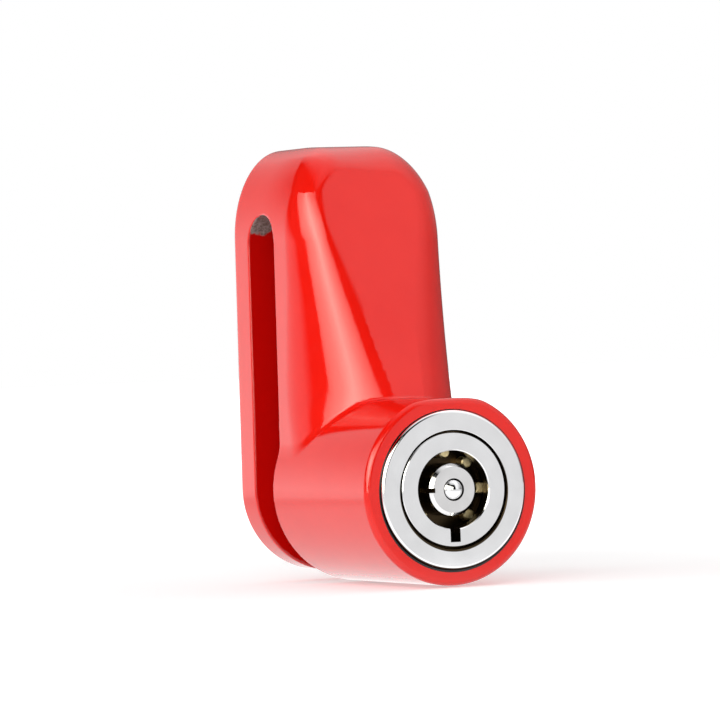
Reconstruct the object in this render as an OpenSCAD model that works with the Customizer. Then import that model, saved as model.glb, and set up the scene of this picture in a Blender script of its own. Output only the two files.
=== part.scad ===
// Disc brake lock with a push-in tubular key cylinder.
// Frame: the bolt axis is Y, the slot's middle is y = 0, +Z is up and the key face looks along -Y.
// The cylinder is drawn pushed in, with its latch held back as it is while the key is turned.

/* [Body] */
// Width of the slot that takes the brake disc
slot_w = 8; // [6:0.5:9]
// Height of the slot's round top above the bolt axis
slot_top = 37; // [32:0.5:39]
// Width of the two legs at the bolt axis
leg_w = 22.8; // [22:0.1:23.6]
// Width of the body at its top
crown_w = 22.2; // [21:0.1:23.6]
// Height of the body's top above the bolt axis
top_h = 46; // [44:0.2:52]
// How much lower the top stands at its front edge than at its back
crown_drop = 0.5; // [0:0.1:1.5]
// Thickness of the back leg
back_t = 5.3; // [5:0.1:8]
// Thickness of the front leg at its top edge
crown_t = 7.1; // [5:0.1:7.4]
// Thickness of the front leg where it runs into the boss
foot_t = 16.4; // [14:0.2:20]
// Height above the bolt axis at which the foot thickness is taken
foot_h = 4; // [2:0.5:6]
// Width of a rounded top corner, seen from the front
crown_r = 7.4; // [6:0.1:10]
// Height of that corner, which is part of an ellipse
crown_rise = 12; // [8:0.5:13]
// Edge radius between the top and the sloping front
front_edge_r = 2.8; // [2:0.1:4]
// Edge radius round the back face
back_edge_r = 1.25; // [0.8:0.05:2]

/* [Boss] */
// Diameter of the round boss that holds the cylinder
boss_d = 25; // [24.6:0.1:27]
// Length of the boss in front of the slot
boss_len = 28.5; // [27.6:0.1:33]
// Height above the bolt axis of the flat along the boss's top
boss_flat_h = 11.9; // [11.4:0.1:12.2]
// Edge radius at both ends of the boss
boss_edge_r = 0.5; // [0.3:0.1:0.8]
// Thickness of the wall between the slot and the cylinder's chamber
web_t = 2.5; // [2:0.1:3.2]

/* [Collar] */
// Outer diameter of the plated collar in the boss
collar_d = 20.7; // [20.2:0.1:21.4]
// Bevel on the collar's outer edge
collar_bevel = 0.4; // [0.2:0.05:0.5]
// Bevel on the edge of the collar's bore
collar_lip = 0.1; // [0.05:0.05:0.3]
// How far the collar stands out of the boss
collar_proud = 0.5; // [0.1:0.05:0.6]

/* [Core] */
// Diameter of the sliding core
core_d = 15.3; // [15.2:0.1:15.8]
// How far the core's face stands out of the boss face
core_proud = 0.4; // [0.1:0.05:0.5]
// Depth of the turned relief that makes the dark ring round the core's end
core_relief = 0.2; // [0.1:0.02:0.3]
// Length of that relief
core_relief_len = 1.2; // [0.6:0.1:2]
// Bevel round the keyway's mouth
core_bevel = 0.12; // [0.06:0.02:0.4]
// Diameter of the shoulder that stops the core behind the collar
shoulder_d = 17; // [16.6:0.1:17.6]
// Length of that shoulder
shoulder_len = 3.9; // [3.5:0.1:4.4]
// Diameter of the core's inside bore
core_bore_d = 12.6; // [12.4:0.1:12.8]
// Thickness of the core's front wall
face_wall = 1.7; // [1.4:0.1:2]
// Width of the ring groove in which the key's lug turns
race_w = 1.8; // [1.6:0.1:2]
// Diameter of that ring groove
race_d = 13.9; // [13.7:0.1:14.1]
// Width of the lip that holds the spindle's flange
lip_w = 0.8; // [0.6:0.1:1]
// Inside diameter of that lip
lip_d = 11.6; // [11.5:0.05:11.8]

/* [Keyway] */
// Outer diameter of the round keyway
keyway_d = 10.2; // [10.1:0.05:10.4]
// Width of the notch for the key's lug
notch_w = 1.45; // [1.2:0.05:1.7]
// Distance from the axis to the end of the notch
notch_reach = 6.8; // [6.5:0.05:6.9]

/* [Spindle] */
// Diameter of the centre post
post_d = 6.8; // [6.6:0.05:6.9]
// Depth of the post's end below the core's face
post_recess = 0; // [0:0.05:0.3]
// Bevel on the post's end
post_bevel = 0.4; // [0.2:0.05:0.5]
// Width of the slot in the post that the key drives
drive_slot_w = 0.6; // [0.4:0.1:1.4]
// Depth of that slot into the post's side
drive_slot_deep = 0.7; // [0.5:0.1:1]
// Length of that slot along the post
drive_slot_len = 3; // [2:0.1:4]
// Length of the flange that carries the key pins
flange_len = 4.4; // [4:0.1:4.7]
// Diameter of the tail that turns in the pin bush
tail_d = 5; // [4.6:0.1:5.2]
// Diameter of the tail where the cam sits
cam_seat_d = 3.5; // [3.3:0.1:3.6]
// Distance from the axis to the flat on the cam seat
cam_flat = 1.3; // [1.2:0.05:1.45]
// Diameter of the hard ball set in the post against drilling
ball_d = 2.9; // [2.6:0.02:3]
// How far the ball stands out of the post
ball_proud = 0.7; // [0.3:0.05:0.8]

/* [Pins] */
// Diameter of the key pins and driver pins
pin_d = 1.5; // [1.4:0.02:1.52]
// Diameter of the circle that the pins stand on
pin_circle_d = 9.6; // [9.5:0.05:9.7]
// Gap between the longest key pin's tip and the core's front wall
pin_gap = 0.1; // [0.05:0.05:0.4]
// Step in length between pin codes
pin_step = 0.2; // [0.1:0.01:0.22]
// Travel of a key pin under the key
pin_travel = 1.2; // [0.8:0.1:1.4]
// Length of a driver pin
driver_len = 2.2; // [1.8:0.1:2.4]
// Wire of the pin springs
pin_wire = 0.25; // [0.2:0.01:0.28]
// Turns of a pin spring
pin_turns = 3; // [2:1:3]
// Length of the fixed bush that holds the driver pins
bush_len = 5.1; // [4.9:0.1:5.3]
// Floor behind the driver springs
bush_floor = 0.5; // [0.4:0.05:0.7]
// Diameter of the pin that fixes the bush
bush_pin_d = 1.5; // [1.2:0.1:1.8]

/* [Latch] */
// Throw of the latch
latch_throw = 1.4; // [1.1:0.05:1.45]
// Base radius of the cam
cam_base_r = 2.5; // [2.4:0.05:2.55]
// Thickness of the cam
cam_t = 1.6; // [1.4:0.1:1.8]
// Least width of the latch's yoke outside the corners of its window
yoke_wall = 1; // [0.8:0.05:1.2]
// Thickness of the clip behind the cam
clip_t = 0.5; // [0.4:0.05:0.6]
// Width of the latch bar
bar_w = 3.2; // [2.8:0.1:3.3]
// Thickness of the latch bar
bar_t = 1.2; // [1:0.05:1.25]
// Distance from the axis to the inner face of the latch bar
bar_in = 5.7; // [5.6:0.02:5.74]
// Diameter of the latch nose
nose_d = 2; // [1.8:0.1:2.4]
// Height of the latch nose below its bar
nose_h = 1.4; // [1.3:0.02:1.44]
// Wire of the latch spring
latch_wire = 0.3; // [0.25:0.01:0.32]
// Turns of the latch spring
latch_turns = 4; // [3:1:4]
// Depth of the latch spring's pocket in the bolt head
latch_pocket = 2.9; // [2.6:0.1:3.2]

/* [Bolt] */
// Diameter of the locking bolt
bolt_d = 6; // [5.6:0.1:6.4]
// Reach of the bolt into the back leg
bolt_reach = 3; // [2.5:0.1:3.2]
// Length of the taper at the bolt's tip
bolt_taper = 1.8; // [1:0.1:2.4]
// Thickness of the bolt's head
head_t = 2.6; // [2.4:0.1:2.8]
// Diameter of the pin across the bolt's head
head_pin_d = 1.5; // [1.2:0.1:1.7]
// Height of that pin above the axis
head_pin_h = 4.4; // [4:0.1:4.8]
// Wire of the return spring
return_wire = 0.9; // [0.7:0.05:0.95]
// Mean diameter of the return spring
return_d = 9.5; // [9.2:0.1:9.8]
// Turns of the return spring
return_turns = 4; // [3:1:4]

/* [Fits] */
// Radial clearance of parts that run or slide
run_fit = 0.1; // [0.06:0.01:0.12]
// Radial clearance of parts that are pressed or pinned in place
press_fit = 0.02; // [0.01:0.005:0.04]
// Gap between end faces that turn past each other
end_gap = 0.05; // [0.03:0.01:0.1]
// Gap behind the core when it is pushed home
home_gap = 0.5; // [0.3:0.05:0.6]
// Gap left at the end of the core's way out
stop_gap = 0.1; // [0.05:0.01:0.2]
// Clearance round the bolt's tip in the back leg
socket_gap = 0.3; // [0.2:0.05:0.5]

/* [Hidden] */

round_fn = 64;
hull_fn = 40;
// Rings per turn and sides of the wire, for the small springs and the return spring
small_rings = 8;
small_sides = 6;
return_rings = 16;
return_sides = 8;
// A cut runs this far past the face that it opens
past = 1;

// Colours
red_paint = [0.85, 0.09, 0.08];
plating = [0.85, 0.85, 0.87];
brass = [0.78, 0.66, 0.38];
steel = [0.66, 0.67, 0.69];
wire = [0.72, 0.72, 0.74];
dark_steel = [0.45, 0.45, 0.47];

// Places along the bolt axis, from the back of the lock to the key face
y_back = slot_w / 2 + back_t;
y_slot_back = slot_w / 2;
y_slot_front = -slot_w / 2;
y_web = y_slot_front - web_t;
y_face = y_slot_front - boss_len;
y_core_rear = y_web - home_gap;
y_core_face = y_face - core_proud;
y_collar_face = y_face - collar_proud;
y_race = y_core_face + face_wall;
y_lip = y_race + race_w;
y_flange = y_lip + lip_w;
y_shear = y_flange + flange_len;
y_bush = y_shear + end_gap;
y_bush_rear = y_bush + bush_len;
y_cam = y_bush_rear + end_gap;
y_cam_rear = y_cam + cam_t;
y_clip = y_cam_rear + end_gap;
clip_groove = clip_t + end_gap;
tail_land = 0.3;
y_tail = y_clip + clip_groove + tail_land;
y_head = y_tail + tail_land;
y_head_rear = y_head + head_t;
y_head_mid = (y_head + y_head_rear) / 2;
y_post = y_core_face + post_recess;
y_ball = y_post - ball_proud + ball_d / 2;
y_bolt_tip = y_slot_back + bolt_reach;

// Travel that takes the bolt's tip clear of the slot, and what is left for the collar
bolt_clear = 0.4;
core_travel = slot_w + bolt_reach + bolt_clear;
y_shoulder = y_core_rear - shoulder_len;
y_collar_rear = y_shoulder - core_travel - stop_gap;
y_nose = (y_shoulder + y_core_rear) / 2;
return_len = y_web - y_head_rear - 2 * end_gap;

// Diameters that follow from a fit
chamber_d = shoulder_d + 2 * run_fit;
collar_bore_d = core_d + 2 * run_fit;
boss_bore_d = collar_d + 2 * press_fit;
flange_d = core_bore_d - 2 * run_fit;
bush_d = core_bore_d - 2 * press_fit;
head_d = core_bore_d - 2 * run_fit;
bolt_hole_d = bolt_d + 2 * run_fit;
socket_d = bolt_d + 2 * socket_gap;
pin_fit = run_fit / 2;
pin_hole_d = pin_d + 2 * pin_fit;
ball_hole_d = ball_d + 2 * press_fit;
nose_hole_d = nose_d + 3 * run_fit;
clip_depth = 0.4;
clip_bore_d = cam_seat_d - 2 * clip_depth;
clip_d = cam_seat_d + 3 * clip_depth;
clip_mouth_w = 0.7 * clip_bore_d;

// Key pins: seven places on an eighth-turn pitch, with the notch at the empty one
pin_count = 7;
pin_pitch = 45;
pin_codes = [1, 3, 1, 2, 0, 4, 0];
pin_tip = 0.2;
pin_tip_d = 1.15;
function pin_angle(i) = pin_pitch * (i - (pin_count + 1) / 2);
driver_hole_len = bush_len - bush_floor;

// Places across the axis for the latch
cam_peak_r = cam_base_r + latch_throw;
cam_rise = latch_throw / 90;
plate_r = core_bore_d / 2 - run_fit;
bar_out = bar_in + bar_t;
nose_tip = bar_out + nose_h;
head_flat = bar_in - run_fit - end_gap;
latch_spring_d = pin_d - latch_wire;
pocket_d = pin_d + 4 * run_fit;

// Points of an arc about [cx, cy], from angle a0 to a1 in degrees
function arc(cx, cy, r, a0, a1, n) =
    [for (i = [0 : n]) let (a = a0 + (a1 - a0) * i / n) [cx + r * cos(a), cy + r * sin(a)]];

// A straight round bar along the bolt axis
module rod(y0, y1, d)
    translate([0, y0, 0]) rotate([-90, 0, 0]) cylinder(h = y1 - y0, d = d, $fn = round_fn);

// A turned solid about the bolt axis, from points of [radius, y]
module turned(profile, fn = round_fn)
    rotate([-90, 0, 0]) rotate_extrude($fn = fn) polygon(profile);

// A flat shape in the x-z plane given a thickness along the bolt axis, with the shape's y as height
module slab(y0, y1)
    translate([0, y1, 0]) rotate([90, 0, 0]) linear_extrude(height = y1 - y0) children();

// Children set on the pin circle, at an angle from the top, clockwise as seen from the key side
module at_pin(a)
    rotate([0, a, 0]) translate([0, 0, pin_circle_d / 2]) children();

// A helical wire as one closed tube along +Z from z = 0, its ends square to the wire
module helix(mean_r, wire_r, length, turns, rings, sides) {
    angles = [for (i = [0 : rings * turns]) 360 * i / rings];
    rise = (length - 2 * wire_r) / (360 * turns);
    tilt = atan(rise * 180 / (PI * mean_r));
    last = len(angles) - 1;
    points = [
        for (a = angles, j = [0 : sides - 1])
            let (
                b = 360 * j / sides,
                out = mean_r + wire_r * cos(b),
                along = wire_r * sin(b)
            )
            [
                out * cos(a) + along * sin(tilt) * sin(a),
                out * sin(a) - along * sin(tilt) * cos(a),
                wire_r + rise * a + along * cos(tilt)
            ]
    ];
    walls = [
        for (i = [0 : last - 1], j = [0 : sides - 1])
            let (
                k = (j + 1) % sides,
                p = i * sides + j,
                q = i * sides + k
            )
            each [[p, p + sides, q], [q, p + sides, q + sides]]
    ];
    start_cap = [for (j = [1 : sides - 2]) [0, j, j + 1]];
    end_cap = [for (j = [1 : sides - 2]) [last * sides, last * sides + j + 1, last * sides + j]];
    polyhedron(points, concat(walls, start_cap, end_cap));
}
// Least gap between neighbouring turns of a helix
function helix_gap(mean_r, wire_r, length, turns) =
    let (pitch = (length - 2 * wire_r) / turns, tilt = atan(pitch / (2 * PI * mean_r)))
    pitch * cos(tilt) - 2 * wire_r;

// Body: two legs joined over the slot, with the boss on the front one

// A round disc with rounded rims, as a corner of the body
module puck(r, y0, y1, front_r, back_r)
    turned(concat(
        [[0, y0]],
        arc(r - front_r, y0 + front_r, front_r, -90, 0, 8),
        arc(r - back_r, y1 - back_r, back_r, 0, 90, 5),
        [[0, y1]]
    ), hull_fn);

module arch_form() {
    // Edge of the discs that end inside the hull
    rim = 0.01;
    hull() {
        for (side = [-1, 1])
            translate([side * (crown_w / 2 - crown_r), 0, top_h - crown_rise]) {
                scale([1, 1, crown_rise / crown_r]) puck(crown_r, 0, y_back, rim, back_edge_r);
                translate([0, 0, -crown_drop]) scale([1, 1, crown_rise / crown_r])
                    puck(crown_r, y_slot_front - crown_t, 0, front_edge_r, rim);
            }
        puck(leg_w / 2, y_slot_back, y_back, rim, back_edge_r);
        translate([0, y_slot_front - foot_t + leg_w / 2, foot_h])
            cylinder(h = rim, r = leg_w / 2, $fn = 2 * hull_fn);
    }
}

module boss_form() difference() {
    turned(concat(
        [[0, y_face]],
        arc(boss_d / 2 - boss_edge_r, y_face + boss_edge_r, boss_edge_r, -90, 0, 6),
        arc(boss_d / 2 - boss_edge_r, y_slot_front - boss_edge_r, boss_edge_r, 0, 90, 6),
        [[0, y_slot_front]]
    ));
    translate([-boss_d / 2, y_face - past, boss_flat_h]) cube([boss_d, boss_len + 2 * past, boss_d]);
}

module slot_cut() {
    arch_z = slot_top - slot_w / 2;
    bottom = boss_d / 2 + past;
    translate([-boss_d, 0, 0]) rotate([90, 0, 90]) linear_extrude(height = 2 * boss_d) {
        translate([0, arch_z]) circle(d = slot_w, $fn = round_fn);
        translate([-slot_w / 2, -bottom]) square([slot_w, arch_z + bottom]);
    }
}

module body() color(red_paint) difference() {
    union() {
        arch_form();
        boss_form();
    }
    slot_cut();
    rod(y_face - past, y_collar_rear, boss_bore_d);
    rod(y_collar_rear - past, y_web, chamber_d);
    rod(y_web - past, y_slot_front + past, bolt_hole_d);
    rod(y_slot_back - past, y_bolt_tip + socket_gap, socket_d);
    translate([0, y_nose, -boss_d / 2 - past])
        cylinder(h = boss_d / 2 + past, d = nose_hole_d, $fn = round_fn);
}

// Collar: the plated ring that is pressed into the boss and guides the core
module collar() color(plating) turned([
    [collar_bore_d / 2 + collar_lip, y_collar_face],
    [collar_d / 2 - collar_bevel, y_collar_face],
    [collar_d / 2, y_collar_face + collar_bevel],
    [collar_d / 2, y_collar_rear],
    [collar_bore_d / 2, y_collar_rear],
    [collar_bore_d / 2, y_collar_face + collar_lip]
]);

// Core: the sliding shell of the tubular lock
module core_outside() turned([
    [0, y_core_face],
    [core_d / 2 - core_relief - collar_lip, y_core_face],
    [core_d / 2 - core_relief, y_core_face + collar_lip],
    [core_d / 2 - core_relief, y_core_face + core_relief_len],
    [core_d / 2, y_core_face + core_relief_len],
    [core_d / 2, y_shoulder],
    [shoulder_d / 2, y_shoulder],
    [shoulder_d / 2, y_core_rear],
    [0, y_core_rear]
]);

module core_inside() turned([
    [0, y_core_face - past],
    [keyway_d / 2 + core_bevel + past, y_core_face - past],
    [keyway_d / 2, y_core_face + core_bevel],
    [keyway_d / 2, y_race],
    [race_d / 2, y_race],
    [race_d / 2, y_lip],
    [lip_d / 2, y_lip],
    [lip_d / 2, y_flange],
    [core_bore_d / 2, y_flange],
    [core_bore_d / 2, y_core_rear + past],
    [0, y_core_rear + past]
]);

module notch()
    translate([-notch_w / 2, y_core_face - past, -notch_reach])
        cube([notch_w, face_wall + 2 * past, notch_reach]);

// The way for the latch bar through the bottom of the core
module latch_way() {
    way_w = bar_w + 2 * run_fit;
    translate([-way_w / 2, y_cam, -shoulder_d])
        cube([way_w, y_core_rear + past - y_cam, shoulder_d - keyway_d / 2 + run_fit]);
}

module core_shell() color(plating) difference() {
    core_outside();
    core_inside();
    notch();
    latch_way();
    bush_pin_form(press_fit);
    bolt_pin_form(press_fit);
}

// Spindle: post, pin flange and tail in one turned piece
module spindle() color(plating) difference() {
    turned([
        [0, y_post],
        [post_d / 2 - post_bevel, y_post],
        [post_d / 2, y_post + post_bevel],
        [post_d / 2, y_flange],
        [flange_d / 2, y_flange],
        [flange_d / 2, y_shear],
        [tail_d / 2, y_shear],
        [tail_d / 2, y_cam - end_gap],
        [cam_seat_d / 2, y_cam - end_gap],
        [cam_seat_d / 2, y_clip],
        [clip_bore_d / 2, y_clip],
        [clip_bore_d / 2, y_clip + clip_groove],
        [cam_seat_d / 2, y_clip + clip_groove],
        [cam_seat_d / 2, y_tail],
        [0, y_tail]
    ]);
    for (i = [1 : pin_count])
        at_pin(pin_angle(i)) rod(y_flange - past, y_shear + past, pin_hole_d);
    translate([-post_d, y_post - past, -drive_slot_w / 2])
        cube([post_d / 2 + drive_slot_deep, drive_slot_len + past, drive_slot_w]);
    translate([cam_flat, y_cam - end_gap, -cam_seat_d])
        cube([cam_seat_d, cam_t + 2 * end_gap, 2 * cam_seat_d]);
    rod(y_post - past, y_ball + ball_d / 2, ball_hole_d);
}

// Hard ball set in the end of the post
module anti_drill_ball() color(plating)
    translate([0, y_ball, 0]) sphere(d = ball_d, $fn = round_fn);

// Key pins, cut to their code lengths, their rear ends a travel short of the shear line
module key_pin(i) {
    front = y_race + pin_gap + pin_step * (max(pin_codes) - pin_codes[i - 1]);
    rear = y_shear - pin_travel;
    color(brass) at_pin(pin_angle(i)) turned([
        [0, front],
        [pin_tip_d / 2, front],
        [pin_d / 2, front + pin_tip],
        [pin_d / 2, rear],
        [0, rear]
    ]);
}

// Bush: the fixed block of driver pins behind the flange
module pin_bush() color(brass) difference() {
    rod(y_bush, y_bush_rear, bush_d);
    rod(y_bush - past, y_bush_rear + past, tail_d + 2 * run_fit);
    for (i = [1 : pin_count])
        at_pin(pin_angle(i)) rod(y_bush - past, y_bush + driver_hole_len, pin_hole_d);
    bush_pin_form(press_fit);
}

module driver_pins() color(brass)
    for (i = [1 : pin_count])
        at_pin(pin_angle(i)) rod(y_bush, y_bush + driver_len, pin_d);

module pin_springs() {
    length = driver_hole_len - driver_len - 2 * end_gap;
    mean_r = (pin_d - pin_wire) / 2 - pin_fit;
    color(wire) for (i = [1 : pin_count])
        at_pin(pin_angle(i)) translate([0, y_bush + driver_len + end_gap, 0]) rotate([-90, 0, 0])
            helix(mean_r, pin_wire / 2, length, pin_turns, small_rings, small_sides);
}

// Pin through the core's wall into the bush, midway between two driver pins
module bush_pin_form(fit) {
    turn = (pin_angle(5) + pin_angle(6)) / 2;
    foot = pin_circle_d / 2 + run_fit;
    translate([0, (y_bush + y_bush_rear) / 2, 0]) rotate([0, turn, 0]) translate([0, 0, foot - fit])
        cylinder(h = core_d / 2 - run_fit - foot + 2 * fit + (fit > 0 ? past : 0),
                 d = bush_pin_d + 2 * fit, $fn = round_fn);
}
module bush_pin() color(dark_steel) bush_pin_form(0);

// Cam: an involute rise of the latch throw in a quarter turn, from the base circle up to the peak.
// With support height h(a) = peak - rise * a, the edge is h * n + h' * n', so a flat follower moves evenly.
function cam_edge(a) =
    let (h = cam_peak_r - cam_rise * a, slope = -cam_rise * 180 / PI)
    [h * sin(a) + slope * cos(a), h * cos(a) - slope * sin(a)];
module drive_cam() {
    rise_steps = 18;
    rise_edge = [for (i = [0 : rise_steps]) cam_edge(90 * i / rise_steps)];
    // The rest lies on the base circle, and a straight flank drops from the peak
    base_edge = [for (a = [95 : 10 : 315]) [cam_base_r * sin(a), cam_base_r * cos(a)]];
    color(dark_steel) slab(y_cam, y_cam_rear) difference() {
        polygon(concat(rise_edge, base_edge));
        intersection() {
            circle(d = cam_seat_d + 2 * press_fit, $fn = round_fn);
            translate([-cam_seat_d, -cam_seat_d])
                square([cam_seat_d + cam_flat + press_fit, 2 * cam_seat_d]);
        }
    }
}

// Spring clip in the tail's groove behind the cam
module cam_clip() {
    y_front = y_clip + end_gap / 2;
    color(dark_steel) slab(y_front, y_front + clip_t) difference() {
        circle(d = clip_d, $fn = round_fn);
        circle(d = clip_bore_d + 2 * press_fit, $fn = round_fn);
        translate([-clip_mouth_w / 2, -clip_d]) square([clip_mouth_w, clip_d]);
    }
}

// Latch: a yoke round the cam, a bar along the bottom of the core and a nose at its end
module latch_slide() color(steel) {
    y_yoke = y_cam + end_gap;
    y_yoke_rear = y_cam_rear - end_gap;
    bar_end = y_core_rear - end_gap;
    difference() {
        union() {
            slab(y_yoke, y_yoke_rear) intersection() {
                circle(r = plate_r, $fn = round_fn);
                translate([0, latch_throw]) circle(r = plate_r, $fn = round_fn);
            }
            translate([-bar_w / 2, y_yoke, -bar_out])
                cube([bar_w, y_yoke_rear - y_yoke, bar_out - cam_base_r]);
        }
        slab(y_yoke - past, y_yoke_rear + past) intersection() {
            left = cam_peak_r + 2 * run_fit;
            right = cam_base_r + 2 * run_fit;
            top = cam_peak_r + end_gap;
            translate([-left, -right]) square([left + right, right + top]);
            translate([0, latch_throw / 2]) circle(r = plate_r - yoke_wall, $fn = round_fn);
        }
    }
    translate([-bar_w / 2, y_yoke_rear - end_gap, -bar_out])
        cube([bar_w, bar_end - y_yoke_rear + end_gap, bar_t]);
    translate([0, y_nose, -nose_tip])
        cylinder(h = nose_h + bar_t / 2, d = nose_d, $fn = round_fn);
}

// Spring that drives the latch out, in its pocket in the bolt's head
module latch_spring() {
    foot = head_flat - latch_pocket;
    length = bar_in - foot - 2 * end_gap;
    color(wire) translate([0, y_head_mid, -foot - end_gap]) rotate([180, 0, 0])
        helix(latch_spring_d / 2, latch_wire / 2, length, latch_turns, small_rings, small_sides);
}

// Bolt: the head that is pinned in the core, the shank and its tapered tip
module locking_bolt() color(steel) difference() {
    turned([
        [0, y_head],
        [head_d / 2, y_head],
        [head_d / 2, y_head_rear],
        [bolt_d / 2, y_head_rear],
        [bolt_d / 2, y_bolt_tip - bolt_taper],
        [bolt_d / 2 - bolt_taper / 2, y_bolt_tip],
        [0, y_bolt_tip]
    ]);
    translate([-head_d / 2, y_head - past, -head_d])
        cube([head_d, head_t + 2 * past, head_d - head_flat]);
    translate([0, y_head_mid, -head_d])
        cylinder(h = head_d - head_flat + latch_pocket, d = pocket_d, $fn = round_fn);
    bolt_pin_form(press_fit);
}

// Pin across the core and the bolt's head
module bolt_pin_form(fit) {
    half = sqrt(pow(core_d / 2 - run_fit, 2) - pow(head_pin_h + head_pin_d / 2, 2));
    reach = half + (fit > 0 ? past : 0);
    translate([-reach, y_head_mid, head_pin_h]) rotate([0, 90, 0])
        cylinder(h = 2 * reach, d = head_pin_d + 2 * fit, $fn = round_fn);
}
module bolt_pin() color(dark_steel) bolt_pin_form(0);

// Spring that pushes the core out when the latch is drawn
module return_spring() {
    color(wire) translate([0, y_head_rear + end_gap, 0]) rotate([-90, 0, 0])
        helix(return_d / 2, return_wire / 2, return_len, return_turns, return_rings, return_sides);
}
echo("travel of the core", core_travel);
echo("length of the collar", y_collar_rear - y_collar_face);
return_gap = helix_gap(return_d / 2, return_wire / 2, return_len, return_turns);
echo("gap between the return spring's turns", return_gap);

body();
collar();
core_shell();
spindle();
anti_drill_ball();
key_pin(1);  // key_pin_1
key_pin(2);  // key_pin_2
key_pin(3);  // key_pin_3
key_pin(4);  // key_pin_4
key_pin(5);  // key_pin_5
key_pin(6);  // key_pin_6
key_pin(7);  // key_pin_7
driver_pins();
pin_springs();
pin_bush();
bush_pin();
drive_cam();
cam_clip();
latch_slide();
latch_spring();
locking_bolt();
bolt_pin();
return_spring();
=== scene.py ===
# %% [markdown]
# # A disc brake lock, from its solids to its looks
#
# The lock is a forked, red painted casting that slips over a brake disc, with a chrome key cylinder in a
# round boss. Its solids come packed from CAD and are loaded as a fixed frame. This lesson puts a smooth
# painted skin over the casting, turns the collar and winds the springs as numpy surfaces, and gives every
# piece a procedural finish.

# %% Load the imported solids
import bpy
import numpy as np
from mathutils import Matrix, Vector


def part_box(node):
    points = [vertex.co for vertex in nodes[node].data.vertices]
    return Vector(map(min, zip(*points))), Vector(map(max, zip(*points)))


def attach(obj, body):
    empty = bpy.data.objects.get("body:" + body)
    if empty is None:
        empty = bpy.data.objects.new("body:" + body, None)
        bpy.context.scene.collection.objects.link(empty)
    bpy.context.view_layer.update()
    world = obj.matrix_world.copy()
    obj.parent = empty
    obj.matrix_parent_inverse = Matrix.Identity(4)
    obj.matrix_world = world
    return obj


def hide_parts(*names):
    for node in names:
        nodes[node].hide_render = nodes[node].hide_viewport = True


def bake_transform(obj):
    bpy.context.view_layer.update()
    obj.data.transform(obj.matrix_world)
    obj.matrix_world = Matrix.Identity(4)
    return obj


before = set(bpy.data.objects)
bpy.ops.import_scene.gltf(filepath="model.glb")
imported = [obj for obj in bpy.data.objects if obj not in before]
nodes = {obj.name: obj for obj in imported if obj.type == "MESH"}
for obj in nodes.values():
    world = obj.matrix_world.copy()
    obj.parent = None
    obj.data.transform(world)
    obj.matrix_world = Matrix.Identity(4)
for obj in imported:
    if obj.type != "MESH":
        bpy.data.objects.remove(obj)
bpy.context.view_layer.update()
MM = 0.001

# %% [markdown]
# ## Camera
#
# The photograph was taken with a long lens, from the key side and a little to the left, almost level with
# the lock. The camera's own axes are built from three angles, and its distance and offsets are in
# millimetres. A 250 mm lens on a 36 mm frame keeps the perspective as flat as the photograph's.

# %% Camera at the photograph's angle
AZIMUTH, ELEVATION, ROLL = np.radians([-25.847, 0.313, -2.179])
DISTANCE, OFFSET_X, OFFSET_Y = 677.259, -2.174, -17.176


def camera_axes():
    """Rows are the camera's right, up and back. Back comes from azimuth and elevation, and the roll turns the
    other two about it."""
    back = np.array([
        np.sin(AZIMUTH) * np.cos(ELEVATION), -np.cos(AZIMUTH) * np.cos(ELEVATION), np.sin(ELEVATION)])
    right = np.array([np.cos(AZIMUTH), np.sin(AZIMUTH), 0.0])
    up = np.cross(back, right)
    return np.array([
        right * np.cos(ROLL) + up * np.sin(ROLL), up * np.cos(ROLL) - right * np.sin(ROLL), back])


axes = camera_axes()
place = axes.T @ np.array([-OFFSET_X, -OFFSET_Y, DISTANCE]) * MM
lens = bpy.data.cameras.new("photo_camera")
lens.lens, lens.sensor_width = 250.0, 36.0
lens.clip_start, lens.clip_end = 0.01, 20.0
camera = bpy.data.objects.new("photo_camera", lens)
stand = np.eye(4)
stand[:3, :3], stand[:3, 3] = axes.T, place
camera.matrix_world = Matrix(stand.tolist())
bpy.context.scene.collection.objects.link(camera)
bpy.context.scene.camera = camera
print("camera at", np.round(place, 3).tolist(), "m")

# %% [markdown]
# ## Surfaces from arrays
#
# Every new piece below is an array of points and arrays of faces. One helper puts them into a mesh whose
# object stays at the origin, so a piece lies where its points say. Where a formula knows the true normal of
# a surface, the helper stores it, and the highlights run smoothly over the facets.

# %% From arrays to a mesh
def make_piece(name, points, faces, normals=None):
    """One mesh object at the origin. points are in mm, faces a list of index arrays with 3 or 4 columns.
    Points that no face uses are left out."""
    used, renamed = np.unique(np.concatenate([block.ravel() for block in faces]), return_inverse=True)
    ends = np.cumsum([block.size for block in faces])[:-1]
    listed = [
        row for block, flat in zip(faces, np.split(renamed.ravel(), ends))
        for row in flat.reshape(block.shape).tolist()]
    mesh = bpy.data.meshes.new(name)
    mesh.from_pydata((points[used] * MM).tolist(), [], listed)
    mesh.polygons.foreach_set("use_smooth", np.ones(len(mesh.polygons), bool))
    if normals is not None:
        mesh.normals_split_custom_set_from_vertices(normals[used].tolist())
    obj = bpy.data.objects.new(name, mesh)
    bpy.context.scene.collection.objects.link(obj)
    print(name, len(used), "points,", len(listed), "faces")
    return obj


def grid_faces(rows, columns, start=0, closed=True):
    """Quads between neighbouring rows of a grid whose columns run round and, if closed, meet again."""
    index = start + np.arange(rows * columns).reshape(rows, columns)
    here = index if closed else index[:, :-1]
    beside = np.roll(index, -1, axis=1) if closed else index[:, 1:]
    return np.stack([here[:-1], here[1:], beside[1:], beside[:-1]], axis=-1).reshape(-1, 4)


# %% Profiles with rounded corners
def unit(v):
    """Vectors scaled to length 1."""
    return v / np.linalg.norm(v, axis=-1, keepdims=True)


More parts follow.
